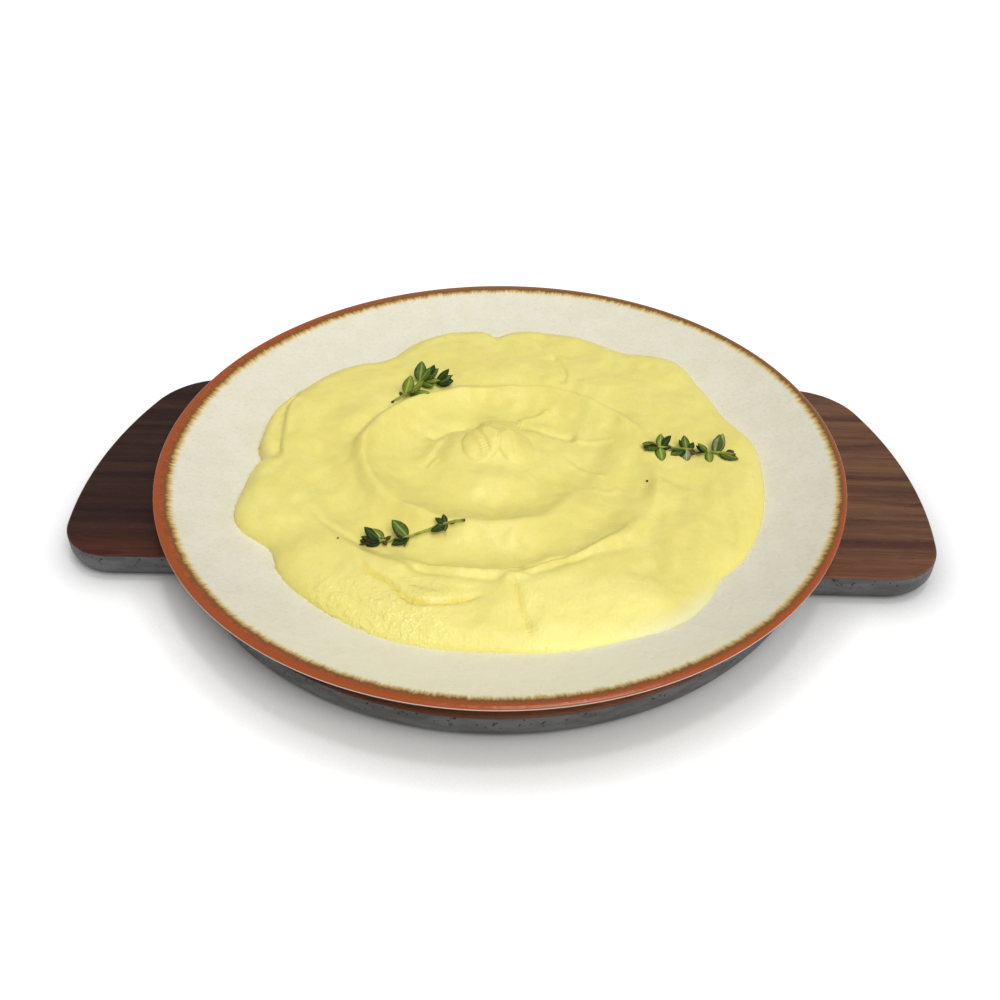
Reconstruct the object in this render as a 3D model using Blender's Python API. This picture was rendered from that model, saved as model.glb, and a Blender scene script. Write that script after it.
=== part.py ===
"""A side of mashed potato, as it is served: a round stoneware plate set in the recess of a
wooden board with two ears, the potato swirled on the plate with the back of a spoon, and three
sprigs of thyme laid on it.

The sizes are in millimetres, and mesh_object() turns them into Blender's metres. The board
stands on Z = 0, the plate's axis is the Z axis, and the ears point along X.
"""

import math

import bmesh
import bpy
import numpy as np
from mathutils import Matrix, Vector

MM = 0.001
GAP = 0.3  # left between pieces that touch

# Board
BOARD_RADIUS = 102.0
BOARD_THICKNESS = 10.0
BOARD_FOOT_ROUND = 4.5
BOARD_TOP_ROUND = 0.8
RECESS_RADIUS = 87.0
RECESS_FLOOR = 6.0
EAR_ARC_CENTRE_Y = -12.0
EAR_ARC_RADIUS = 137.0
EAR_FRONT_Y = -47.0
EAR_BACK_Y = 54.5
EAR_FRONT_CORNER = 17.0
EAR_BACK_CORNER = 24.0
EAR_FILLET = 9.0

# Plate
PLATE_RADIUS = 110.0
PLATE_FLOOR = 12.0
PLATE_WALL = 4.0
WELL_RADIUS = 62.0
RIM_INNER_RADIUS = 106.4
RIM_RISE = 7.9
LIP_TOP = 20.5
LIP_BOTTOM = 16.9
FOOT_INNER = 55.0
FOOT_OUTER = 61.0
FOOT_BOTTOM = RECESS_FLOOR + GAP
PLATE_SEGMENTS = 52

# Mashed potato. Angles are in degrees, anticlockwise from +X, seen from above.
MASH_CENTRE = (2.0, -3.5)
MASH_RADIUS = 83.5
EDGE_LOBES = (  # angle, half width, how far it stands out
    (8, 7, 1.5),
    (18, 9, -2.5),
    (43, 8, 5.0),
    (57, 6, -2.0),
    (76, 10, 1.0),
    (93, 3, -4.0),
    (104, 8, 1.5),
    (128, 9, -6.5),
    (163, 9, 2.5),
    (183, 4, -3.0),
    (202, 8, 4.5),
    (214, 5, -3.0),
    (270, 12, -2.0),
    (306, 9, 3.5),
    (321, 4, -2.0),
)
APRON_HEIGHT = ((0, 7.0), (60, 8.0), (120, 9.0), (180, 9.5), (225, 8.5), (270, 8.0), (315, 6.5))
EDGE_ROLL = ((0, 10), (60, 9), (120, 9), (180, 8), (225, 17), (270, 24), (315, 24))
CREST_START = -30  # the ridge that the spoon left winds clockwise from here
CREST_PATH = (  # degrees along the spiral, radius
    (0, 27.0),
    (35, 36.0),
    (90, 42.0),
    (150, 47.0),
    (195, 42.5),
    (240, 38.0),
    (285, 43.0),
    (330, 48.5),
    (372, 56.0),
    (420, 59.0),
    (480, 65.0),
    (520, 67.0),
)
CREST_RISE = ((0, 0.0), (50, 1.6), (100, 2.2), (250, 2.6), (340, 1.6), (380, 2.2), (440, 2.0), (510, 0.0))
CREST_WIDTH = 5.5
INNER_TROUGH = ((0, 30.0), (45, 27.0), (90, 25.0), (135, 29.0), (180, 33.0), (225, 31.0), (270, 26.0), (315, 23.0))
INNER_TROUGH_HEIGHT = 5.2
OUTER_TROUGH_START = 25  # it winds clockwise too, and is deepest at the front
OUTER_TROUGH = ((0, 37.0), (70, 46.0), (115, 50.0), (160, 54.0), (205, 58.5), (235, 61.0))
OUTER_TROUGH_HEIGHT = ((0, 9.0), (40, 6.4), (115, 5.4), (170, 5.8), (235, 9.5))
TROUGH_RADIUS = 15.0  # the spoon's
MOUND_HEIGHT = 9.5
MOUND_RADIUS = 14.0
PEAK_LUMPS = (  # x, y, radius, height over the mound
    (-5.5, 1.5, 5.0, 5.2),
    (5.0, 1.0, 4.8, 4.4),
    (-4.0, 6.0, 3.4, 2.4),
)
MASH_SEGMENTS = 78
MASH_RINGS = 27

# Thyme: each sprig's stem is a run of (x, y) points, and its leaves are (share of the stem,
# direction in degrees, length, tilt above the potato in degrees).
STEM_RADIUS = 0.5
LEAF_WIDTH = 0.5  # of its length
LEAF_THICKNESS = 0.9
LEAF_REACH = 0.42  # of its length, from the stem's middle to the leaf's
SPRIGS = {
    "thyme_back": (
        ((-37.7, 22.9), (-33.5, 30.0), (-29.0, 37.5), (-25.0, 43.5)),
        (
            (0.25, 130, 3.5, 40),
            (0.45, 100, 6.5, 25),
            (0.5, -40, 5.0, 10),
            (0.7, 95, 8.5, 30),
            (0.72, -35, 7.0, 8),
            (0.85, 60, 6.0, 35),
            (0.97, 25, 7.0, 20),
            (0.97, -20, 7.0, 10),
        ),
    ),
    "thyme_right": (
        ((49.0, 1.2), (57.0, 1.8), (66.0, 0.8), (74.5, -1.2)),
        (
            (0.0, 160, 4.5, 15),
            (0.02, 205, 5.0, 8),
            (0.1, 75, 7.5, 35),
            (0.14, -95, 6.5, 8),
            (0.4, 80, 7.0, 30),
            (0.42, -120, 6.0, 8),
            (0.66, 110, 5.5, 30),
            (0.68, -100, 6.5, 8),
            (0.8, 62, 9.0, 30),
            (0.95, -30, 6.5, 8),
        ),
    ),
    "thyme_front": (
        ((-36.0, -44.5), (-27.5, -43.5), (-19.0, -38.8), (-11.0, -37.0)),
        (
            (0.0, 150, 6.0, 15),
            (0.03, 205, 5.5, 8),
            (0.08, 100, 7.0, 35),
            (0.3, 115, 8.0, 35),
            (0.33, -75, 5.5, 8),
            (0.7, 110, 5.0, 30),
            (0.72, -110, 5.5, 8),
        ),
    ),
}


def material(name, colour, roughness, metallic=0.0):
    made = bpy.data.materials.new(name)
    made.use_nodes = True
    shader = made.node_tree.nodes["Principled BSDF"]
    shader.inputs["Base Color"].default_value = (*colour, 1.0)
    shader.inputs["Roughness"].default_value = roughness
    shader.inputs["Metallic"].default_value = metallic
    return made


def mesh_object(name, points, faces, finish, smooth_under=math.radians(40)):
    """An object from points in millimetres and faces given as tuples of their indices."""
    mesh = bpy.data.meshes.new(name)
    mesh.from_pydata([tuple(c * MM for c in p) for p in points], [], faces)
    edit = bmesh.new()
    edit.from_mesh(mesh)
    bmesh.ops.recalc_face_normals(edit, faces=edit.faces)
    edit.to_mesh(mesh)
    edit.free()
    mesh.shade_smooth()
    mesh.set_sharp_from_angle(angle=smooth_under)
    mesh.materials.append(finish)
    made = bpy.data.objects.new(name, mesh)
    bpy.context.scene.collection.objects.link(made)
    return made


def stack_rings(rings, first_cap, last_cap):
    """Points and faces of a closed skin through rings of equally many points.

    A cap is a single point that closes that end as a fan, or None for one flat face.
    """
    count = len(rings[0])
    points = [p for ring in rings for p in ring]
    faces = []
    for level in range(len(rings) - 1):
        low, high = level * count, (level + 1) * count
        for i in range(count):
            j = (i + 1) % count
            faces.append((low + i, low + j, high + j, high + i))
    for cap, start in ((first_cap, 0), (last_cap, (len(rings) - 1) * count)):
        ring = range(start, start + count)
        if cap is None:
            faces.append(tuple(ring))
            continue
        points.append(cap)
        centre = len(points) - 1
        faces += [(start + i, start + (i + 1) % count, centre) for i in range(count)]
    return points, faces


def arc(x, y, radius, start, end, steps):
    """Points along an arc, from start to end in degrees, both ends included."""
    angles = np.radians(np.linspace(start, end, steps + 1))
    return [(x + radius * math.cos(a), y + radius * math.sin(a)) for a in angles]


def board_outline(inset):
    """The board's outline, moved in by inset: a disc with an ear on each side."""
    disc = BOARD_RADIUS - inset
    ear = EAR_ARC_RADIUS - inset
    fillet = EAR_FILLET + inset
    right = []
    for side, edge, corner in (
        (-1, EAR_FRONT_Y + inset, EAR_FRONT_CORNER - inset),
        (1, EAR_BACK_Y - inset, EAR_BACK_CORNER - inset),
    ):
        # A hollow fillet joins the disc to the ear's straight edge.
        fillet_y = edge + side * fillet
        fillet_x = math.sqrt((disc + fillet) ** 2 - fillet_y**2)
        meets_disc = math.degrees(math.atan2(fillet_y, fillet_x))
        # A round corner joins that edge to the ear's outer arc.
        corner_y = edge - side * corner
        corner_x = math.sqrt((ear - corner) ** 2 - (corner_y - EAR_ARC_CENTRE_Y) ** 2)
        meets_ear = math.degrees(math.atan2(corner_y - EAR_ARC_CENTRE_Y, corner_x))
        run = arc(0, 0, disc, side * 90, meets_disc, 8)[:-1]
        run += arc(fillet_x, fillet_y, fillet, meets_disc - side * 180, -side * 90, 3)
        run += arc(corner_x, corner_y, corner, side * 90, meets_ear, 6)
        if side < 0:
            right += run
            arc_start = meets_ear
        else:
            right += arc(0, EAR_ARC_CENTRE_Y, ear, arc_start, meets_ear, 7)[1:-1]
            right += reversed(run)
    left = [(-x, y) for x, y in reversed(right[1:-1])]
    return right + left


def make_board(finish):
    rings = []
    for a in np.radians((90, 60, 30, 0)):  # the round foot, from the underside up
        inset = BOARD_FOOT_ROUND * (1 - math.cos(a))
        height = BOARD_FOOT_ROUND * (1 - math.sin(a))
        rings.append([(x, y, height) for x, y in board_outline(inset)])
    rings.append([(x, y, BOARD_THICKNESS - BOARD_TOP_ROUND) for x, y in board_outline(0)])
    top = [(x, y, BOARD_THICKNESS) for x, y in board_outline(BOARD_TOP_ROUND)]
    rings.append(top)
    for height in (BOARD_THICKNESS, RECESS_FLOOR):
        ring = []
        for x, y, _ in top:
            scale = RECESS_RADIUS / math.hypot(x, y)
            ring.append((x * scale, y * scale, height))
        rings.append(ring)
    return mesh_object("board", *stack_rings(rings, None, None), finish, math.radians(25))


def plate_surface(r):
    """Height of the plate's inner face at radius r: a flat well, and a rim that curves up."""
    past_well = np.clip((r - WELL_RADIUS) / (RIM_INNER_RADIUS - WELL_RADIUS), 0, None)
    return PLATE_FLOOR + RIM_RISE * past_well**2


def make_plate(finish):
    inner = [(r, float(plate_surface(r))) for r in (WELL_RADIUS, 74, 85, 96, RIM_INNER_RADIUS)]
    lip = [(107.6, 20.4), (108.8, 20.3), (109.8, 19.3), (PLATE_RADIUS, 18.0), (109.0, LIP_BOTTOM)]
    under = [(r, float(plate_surface(r)) - PLATE_WALL) for r in (103, 90, 76)]
    foot = [
        (FOOT_OUTER + 1.5, PLATE_FLOOR - PLATE_WALL),
        (FOOT_OUTER, FOOT_BOTTOM),
        (FOOT_INNER, FOOT_BOTTOM),
        (FOOT_INNER - 1.5, PLATE_FLOOR - PLATE_WALL),
    ]
    rings = []
    for r, z in inner + lip + under + foot:
        turn = np.linspace(0, 2 * math.pi, PLATE_SEGMENTS, endpoint=False)
        rings.append([(r * math.cos(a), r * math.sin(a), z) for a in turn])
    caps = (0, 0, PLATE_FLOOR), (0, 0, PLATE_FLOOR - PLATE_WALL)
    return mesh_object("plate", *stack_rings(rings, *caps), finish)


def ease(t):
    """0 to 1 with level ends."""
    t = np.clip(t, 0, 1)
    return t * t * (3 - 2 * t)


def along(table, at):
    """A table's value at a place, with soft steps between its rows."""
    places = [row[0] for row in table]
    values = [row[1] for row in table]
    at = np.clip(at, places[0], places[-1])
    i = np.clip(np.searchsorted(places, at, side="right") - 1, 0, len(table) - 2)
    low = np.take(places, i)
    share = (at - low) / (np.take(places, i + 1) - low)
    share = 0.5 * (share + ease(share))
    return np.take(values, i) * (1 - share) + np.take(values, i + 1) * share


def around(table, angle):
    """The same for a table that closes on itself after 360 degrees."""
    closed = (*table, (360 + table[0][0], table[0][1]))
    return along(closed, np.mod(angle, 360))


def soft_min(a, b, blend):
    """The lower of two surfaces, rounded where they cross."""
    share = np.clip(0.5 + 0.5 * (b - a) / blend, 0, 1)
    return b * (1 - share) + a * share - blend * share * (1 - share)


def mash_edge(angle):
    """How far the potato reaches from the plate's axis in a direction."""
    a = np.radians(angle)
    x, y = MASH_CENTRE
    towards = x * np.cos(a) + y * np.sin(a)
    reach = towards + np.sqrt(towards**2 + MASH_RADIUS**2 - x * x - y * y)
    for centre, width, height in EDGE_LOBES:
        off = np.mod(angle - centre + 180, 360) - 180
        reach = reach + height * np.exp(-((off / width) ** 2))
    return reach


def mash_thickness(x, y):
    """The potato's thickness over the flat of the plate's well, in millimetres."""
    r = np.hypot(x, y)
    angle = np.degrees(np.arctan2(y, x))
    inside = np.clip(mash_edge(angle) - r, 0, None)
    apron = around(APRON_HEIGHT, angle)
    roll = np.clip(inside / around(EDGE_ROLL, angle), 0, 1)
    top = apron * np.sqrt(1 - (1 - roll) ** 2)

    turned = np.mod(CREST_START - angle, 360)
    for winding in (turned, turned + 360):
        off = (r - along(CREST_PATH, winding)) / CREST_WIDTH
        exists = (winding <= CREST_PATH[-1][0]) & (inside > 0)
        top = top + exists * along(CREST_RISE, winding) * np.exp(-(off**2))

    inner = INNER_TROUGH_HEIGHT + (r - around(INNER_TROUGH, angle)) ** 2 / (2 * TROUGH_RADIUS)
    top = soft_min(top, inner, 2.0)
    turned = np.mod(OUTER_TROUGH_START - angle, 360)
    off = r - along(OUTER_TROUGH, turned)
    outer = along(OUTER_TROUGH_HEIGHT, turned) + off**2 / (2 * TROUGH_RADIUS)
    top = np.where(turned <= OUTER_TROUGH[-1][0], soft_min(top, outer, 1.6), top)

    mound = MOUND_HEIGHT * np.exp(-((r / MOUND_RADIUS) ** 2) * 1.2)
    top = -soft_min(-top, -mound, 2.0)
    for cx, cy, radius, height in PEAK_LUMPS:
        top = top + height * np.exp(-(((x - cx) ** 2 + (y - cy) ** 2) / radius**2) ** 1.5)
    return top


def mash_top(x, y):
    return PLATE_FLOOR + GAP + mash_thickness(x, y) + 0.55 * (
        plate_surface(np.hypot(x, y)) - PLATE_FLOOR
    )


def make_mash(finish):
    angles = np.arange(MASH_SEGMENTS) * 360 / MASH_SEGMENTS
    edge = mash_edge(angles)
    cos, sin = np.cos(np.radians(angles)), np.sin(np.radians(angles))
    rings = []
    for share in np.linspace(1, 0, MASH_RINGS + 1)[1:-1]:
        # The rings lie closer at the edge and at the peak.
        r = edge * (share - 0.05 * math.sin(2 * math.pi * share))
        x, y = r * cos, r * sin
        rings.append(list(zip(x, y, mash_top(x, y))))
    rim = list(zip(edge * cos, edge * sin, plate_surface(edge) + GAP))
    well = np.minimum(edge * 0.8, WELL_RADIUS)
    under = list(zip(well * cos, well * sin, plate_surface(well) + GAP))
    rings = [under, rim] + rings
    caps = (0, 0, PLATE_FLOOR + GAP), (0, 0, float(mash_top(np.array(0.0), np.array(0.0))))
    return mesh_object("mash", *stack_rings(rings, *caps), finish)


def along_stem(stem, share):
    """A point on a smooth curve through the stem's points."""
    at = share * (len(stem) - 1)
    i = min(int(at), len(stem) - 2)
    before = Vector(stem[max(i - 1, 0)])
    start, end = Vector(stem[i]), Vector(stem[i + 1])
    after = Vector(stem[min(i + 2, len(stem) - 1)])
    t = at - i
    return 0.5 * (
        2 * start
        + (end - before) * t
        + (2 * before - 5 * start + 4 * end - after) * t * t
        + (3 * start - before - 3 * end + after) * t**3
    )


def resting_height(x, y, reach):
    """The height that clears the potato within reach of a point."""
    ring = np.radians(np.arange(0, 360, 30))
    xs = np.append(x + reach * np.cos(ring), x)
    ys = np.append(y + reach * np.sin(ring), y)
    return float(mash_top(xs, ys).max())


def make_leaf(name, base, direction, length, tilt, finish):
    """One leaf as a flattened, closed oval that starts inside the stem."""
    edit = bmesh.new()
    bmesh.ops.create_uvsphere(edit, u_segments=8, v_segments=4, radius=0.5)
    turn = Matrix.Rotation(math.radians(direction), 4, "Z") @ Matrix.Rotation(-math.radians(tilt), 4, "Y")
    size = Matrix.Diagonal((length, length * LEAF_WIDTH, LEAF_THICKNESS, 1))
    place = Matrix.Translation(base) @ turn @ Matrix.Translation((length * LEAF_REACH, 0, 0)) @ size
    edit.transform(Matrix.Scale(MM, 4) @ place)
    mesh = bpy.data.meshes.new(name)
    edit.to_mesh(mesh)
    edit.free()
    mesh.materials.append(finish)
    leaf = bpy.data.objects.new(name, mesh)
    leaf.hide_render = True
    leaf.display_type = "WIRE"
    return leaf


def make_sprig(name, stem, leaves, finish):
    """A stem with its leaves joined to it as one solid."""
    centres = []
    for share in np.linspace(0, 1, 10):
        x, y = along_stem(stem, share)
        lift = STEM_RADIUS + 2.2 * GAP
        centres.append(Vector((x, y, resting_height(x, y, 2.0) + lift)))
    rings = []
    for i, centre in enumerate(centres):
        ahead = centres[min(i + 1, len(centres) - 1)] - centres[max(i - 1, 0)]
        side = ahead.cross(Vector((0, 0, 1))).normalized()
        up = side.cross(ahead).normalized()
        turn = np.radians(np.arange(0, 360, 60))
        rings.append([centre + STEM_RADIUS * (math.cos(a) * side + math.sin(a) * up) for a in turn])
    sprig = mesh_object(name, *stack_rings(rings, None, None), finish)
    parts = bpy.data.collections.new(name + "_leaves")
    bpy.context.scene.collection.children.link(parts)
    for number, (share, direction, length, tilt) in enumerate(leaves):
        i = round(share * (len(centres) - 1))
        leaf = make_leaf(f"{name}_leaf_{number}", centres[i], direction, length, tilt, finish)
        parts.objects.link(leaf)
    join = sprig.modifiers.new("leaves", "BOOLEAN")
    join.operation = "UNION"
    join.operand_type = "COLLECTION"
    join.collection = parts
    return sprig


def main():
    for old in list(bpy.data.objects):
        bpy.data.objects.remove(old, do_unlink=True)
    make_board(material("dark walnut", (0.045, 0.022, 0.016), 0.45))
    make_plate(material("cream stoneware", (0.78, 0.73, 0.58), 0.25))
    make_mash(material("mashed potato", (0.84, 0.74, 0.28), 0.45))
    green = material("thyme", (0.05, 0.11, 0.03), 0.6)
    for name, (stem, leaves) in SPRIGS.items():
        make_sprig(name, stem, leaves, green)


main()
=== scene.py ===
"""The looks of a side of mashed potato: potato swirled over a glazed stoneware plate, sprigs of
thyme on it, and the eared walnut board that the plate stands in.

Shapes are worked out in millimetres in the frame of the CAD model, and mesh_piece() turns them
into metres. Angles are in degrees, anticlockwise from +X, seen from above.
"""

import math

import bpy
import numpy as np
from mathutils import Matrix, Vector


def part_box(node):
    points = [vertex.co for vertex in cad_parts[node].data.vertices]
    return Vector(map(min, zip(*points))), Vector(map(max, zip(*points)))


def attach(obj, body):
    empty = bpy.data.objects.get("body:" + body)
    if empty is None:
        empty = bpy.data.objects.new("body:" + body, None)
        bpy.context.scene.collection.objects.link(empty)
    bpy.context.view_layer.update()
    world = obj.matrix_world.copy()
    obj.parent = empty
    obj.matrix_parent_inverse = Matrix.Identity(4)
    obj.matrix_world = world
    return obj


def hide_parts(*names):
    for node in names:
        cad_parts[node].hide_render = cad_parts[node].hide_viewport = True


MM = 0.001

# Camera and light
AIM_HEIGHT = 20.5
CAMERA_DISTANCE = 360.0
CAMERA_AZIMUTH = 2.0
CAMERA_ELEVATION = 36.33
LENS = 39.63
SENSOR = 36.0
FRAME_SHIFT = -0.0523
SKY = 0.32
LAMPS = (  # strength, size in degrees, where it comes from
    (2.00, 34.0, (0.34, -0.64, 1.0)),
    (0.52, 8.0, (0.10, 0.05, 1.0)),
)
FLOOR_REACH = 6.0  # metres
SHADOW_REACH = 0.025  # metres that the soft shadow about the board's foot spreads
SHADOW_DEPTH = 1.8

# Plate
PLATE_FLOOR = 12.0
WELL_RADIUS = 62.0
RIM_INNER_RADIUS = 106.4
RIM_RISE = 9.2
PLATE_WALL = 4.0
PLATE_SEGMENTS = 240

# Board
BOARD_DISC = 103.0
BOARD_TOP_ROUND = 0.8
BOARD_FOOT_ROUND = 5.4
RECESS_RADIUS = 87.0
RECESS_FLOOR = 6.0
EAR_ARC_CENTRE_Y = -12.0
LEFT_EAR_FRONT_Y = -44.6
RIGHT_EAR_FRONT_Y = -47.0
EAR_BACK_Y = 54.5
EAR_SHORTER = 0.8
EAR_FRONT_CORNER = 17.0
EAR_BACK_CORNER = 24.0
EAR_FILLET = 9.0

# Mashed potato
MASH_SEGMENTS = 440
MASH_RINGS = 205
MASH_CENTRE = (2.0, -3.5)
MASH_RADIUS = 83.5
EDGE_LOBES = (  # angle, half width, how far it stands out
    (8, 7, 1.5),
    (18, 9, -2.5),
    (43, 8, 5.0),
    (57, 6, -2.0),
    (76, 10, 1.0),
    (93, 3, -4.0),
    (104, 8, 1.5),
    (128, 9, -6.5),
    (163, 9, 2.5),
    (183, 4, -3.0),
    (202, 8, 4.5),
    (214, 5, -3.0),
    (270, 12, -2.0),
    (306, 9, 3.5),
    (321, 4, -2.0),
)
APRON_HEIGHT = ((0, 7.0), (60, 8.0), (120, 9.0), (180, 9.5), (225, 8.5), (270, 8.0), (315, 6.5))
EDGE_ROLL = ((0, 10), (60, 9), (120, 9), (180, 8), (225, 17), (270, 24), (315, 24))
CREST_START = -30  # the ridge that the spoon left winds clockwise from here
CREST_PATH = (  # degrees along the spiral, radius
    (0, 27.0),
    (35, 36.0),
    (90, 42.0),
    (150, 44.0),
    (195, 37.5),
    (240, 33.5),
    (285, 40.5),
    (330, 48.5),
    (372, 56.0),
    (420, 59.0),
    (480, 65.0),
    (520, 67.0),
)
CREST_RISE = ((0, 0.0), (50, 1.6), (100, 2.2), (250, 2.6), (340, 1.6), (380, 2.2), (440, 2.0), (510, 0.0))
CREST_OUTER_WIDTH = 3.6
CREST_INNER_WIDTH = 6.0
INNER_TROUGH = (  # angle, radius
    (0, 30.0),
    (45, 27.0),
    (90, 24.0),
    (135, 26.0),
    (180, 28.0),
    (225, 28.0),
    (270, 26.0),
    (315, 23.0),
)
INNER_TROUGH_HEIGHT = 5.2
OUTER_TROUGH_START = 25  # it winds clockwise too, and is deepest at the front
OUTER_TROUGH = ((0, 37.0), (70, 46.0), (115, 50.0), (160, 54.0), (205, 58.5), (235, 61.0))
OUTER_TROUGH_HEIGHT = ((0, 9.0), (40, 6.4), (115, 5.4), (170, 5.8), (235, 9.5))
TROUGH_RADIUS = 15.0  # the spoon's
MOUND_HEIGHT = 10.8
MOUND_RADIUS = 16.5
MOUND_CAPS = (  # x, y, radius, height over the mound
    (-0.5, 4.5, 6.5, 2.0),
    (-5.4, 5.6, 2.8, 1.0),
    (3.8, 5.6, 2.6, 0.8),
)
PEAK_LUMPS = (  # x, y, half width, half depth, how far it stands out
    (-6.1, 0.6, 6.4, 8.8, 1.3),
    (5.0, 0.4, 5.7, 7.6, 0.8),
)
FOLDS = (  # height, width on the left of the line, width on its right, (x, y) points
    # the crease between the two front lobes, and the lobe's lip beside it
    (-1.3, 0.7, 0.8, ((5, -60), (7.0, -66), (8.2, -72), (10.6, -78), (12.0, -82))),
    (-1.2, 0.8, 0.8, ((5, -59.5), (10, -56), (16, -52), (22, -51))),
    (0.5, 8.0, 3.0, ((9, -61), (11, -68), (13, -75), (15, -82))),
    # the curved fold on the left front lobe
    (
        -1.3,
        0.8,
        1.1,
        (
            (-39, -53), (-36, -59), (-29, -64), (-24.5, -69),
            (-20, -71.5), (-12, -71), (-6, -68.5), (0, -67.5),
        ),
    ),
    (
        0.6,
        1.8,
        7.0,
        (
            (-38, -51), (-34, -57), (-28, -61.5), (-23, -66.5),
            (-19, -68.8), (-12, -68.4), (-6, -66),
        ),
    ),
    (-0.7, 1.2, 1.4, ((-46, -64), (-36, -72), (-26, -80), (-22, -84))),
    # thin lips on the wall of the outer trough
    (0.9, 0.9, 1.5, ((-28, -53), (-12, -57.5), (5, -57.5), (20, -52.5), (33, -43.5), (42, -35))),
    (-1.9, 1.6, 2.0, ((-26, -57), (-16, -59.8), (-6, -61), (5, -61))),
    (-1.9, 1.6, 2.6, ((7, -60.5), (14, -57.5), (22, -53), (32, -48), (41, -42))),
    # the wall on the left of the outer trough
    (-1.2, 1.6, 4.5, ((-61, -24), (-56, -34), (-48, -42), (-38, -48), (-28, -53))),
    # the groove behind the crest
    (
        -1.5,
        3.5,
        1.3,
        (
            (-48, -12), (-48, 2), (-43.5, 15.5), (-33, 27), (-21, 33.6),
            (-5, 37), (13, 37.6), (27, 33), (39, 23.5), (48, 12),
        ),
    ),
    # the foot of the crest's inner side at the left
    (-0.9, 3.6, 1.5, ((-38, 8), (-41, 0), (-40.5, -10), (-36.5, -20), (-30, -28), (-22, -33))),
    (0.7, 1.8, 2.2, ((-42, 10), (-44.5, 0), (-43.5, -12), (-39.5, -22), (-33, -31))),
    # the small fold on the back apron
    (-1.0, 0.9, 1.6, ((17, 59), (20.5, 52), (22, 46), (20.5, 40))),
    # the step down to the left ledge
    (-2.2, 1.2, 4.5, ((-72, 31), (-74.5, 20), (-73.5, 8), (-72.5, -2), (-70, -10))),
    # shoulders and valleys about the peak
    (0.9, 1.4, 3.0, ((-13, 8), (-17.5, 9), (-20.5, 4), (-23.5, -3), (-25.5, -8))),
    (-1.8, 3.0, 3.2, ((-6, 15), (-12, 14.5), (-18, 12), (-24, 7))),
    (-1.8, 2.4, 2.6, ((3, 16), (9, 14), (16, 12), (26, 11))),
    (0.9, 1.3, 2.0, ((5, 19), (12, 21.5), (16, 26))),
    (0.5, 1.1, 1.5, ((24, 9), (31, 8.4), (38, 8.6))),
    (0.6, 1.0, 1.2, ((22, -4), (28, -9), (34, -12))),
    (0.5, 1.0, 1.0, ((29, -18), (34, -20), (39, -17))),
    (0.5, 0.9, 0.9, ((-20, -4), (-23, -9))),
    # streaks that run down the peak's left lump
    (0.4, 0.5, 0.6, ((-9.5, 4.5), (-7, 0), (-5, -5.5))),
    (-0.5, 0.5, 0.6, ((-7.8, 5.5), (-5.2, 0.5), (-2.8, -5))),
    (-0.35, 0.5, 0.6, ((3, 5.5), (4.4, 0.5), (5, -4.5))),
    # the valley smeared over the right front lobe
    (-0.9, 3.5, 3.0, ((47, -8), (46.5, -24), (45.5, -40), (47, -55), (51, -66))),
    (0.8, 3.5, 6.0, ((57, -14), (60, -30), (63, -45), (67, -58))),
    (0.5, 2.0, 2.5, ((52, -20), (52, -38), (54, -54))),
    (-0.5, 1.5, 2.0, ((69, -14), (71, -30), (71, -44))),
)


def ease(t):
    """0 to 1 with level ends."""
    t = np.clip(t, 0, 1)
    return t * t * (3 - 2 * t)


def along(table, at):
    """A table's value at a place, with soft steps between its rows."""
    places = [row[0] for row in table]
    values = [row[1] for row in table]
    at = np.clip(at, places[0], places[-1])
    i = np.clip(np.searchsorted(places, at, side="right") - 1, 0, len(table) - 2)
    low = np.take(places, i)
    share = (at - low) / (np.take(places, i + 1) - low)
    share = 0.5 * (share + ease(share))
    return np.take(values, i) * (1 - share) + np.take(values, i + 1) * share


def around(table, angle):
    """The same for a table that closes on itself after 360 degrees."""
    closed = (*table, (360 + table[0][0], table[0][1]))
    return along(closed, np.mod(angle, 360))


def soft_min(a, b, blend):
    """The lower of two surfaces, rounded where they cross."""
    share = np.clip(0.5 + 0.5 * (b - a) / blend, 0, 1)
    return b * (1 - share) + a * share - blend * share * (1 - share)


def ripple(x, y, wavelength, seed, waves=18):
    """Even, band-limited unevenness of about unit height."""
    draw = np.random.default_rng(seed)
    total = np.zeros_like(x)
    for _ in range(waves):
        turn = draw.uniform(0, 2 * math.pi)
        size = 2 * math.pi / (wavelength * draw.uniform(0.75, 1.4))
        total += np.cos(size * (x * math.cos(turn) + y * math.sin(turn)) + draw.uniform(0, 2 * math.pi))
    return total * math.sqrt(2 / waves)


def smooth_curve(points, step):
    """Points about every step along a smooth curve through the given ones."""
    points = [Vector(p) for p in points]
    made = []
    for i in range(len(points) - 1):
        before = points[max(i - 1, 0)]
        start, end = points[i], points[i + 1]
        after = points[min(i + 2, len(points) - 1)]
        count = max(2, round((end - start).length / step))
        for k in range(count):
            t = k / count
            made.append(
                0.5
                * (
                    2 * start
                    + (end - before) * t
                    + (2 * before - 5 * start + 4 * end - after) * t * t
                    + (3 * start - before - 3 * end + after) * t**3
                )
            )
    made.append(points[-1])
    return np.array(made)


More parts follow.
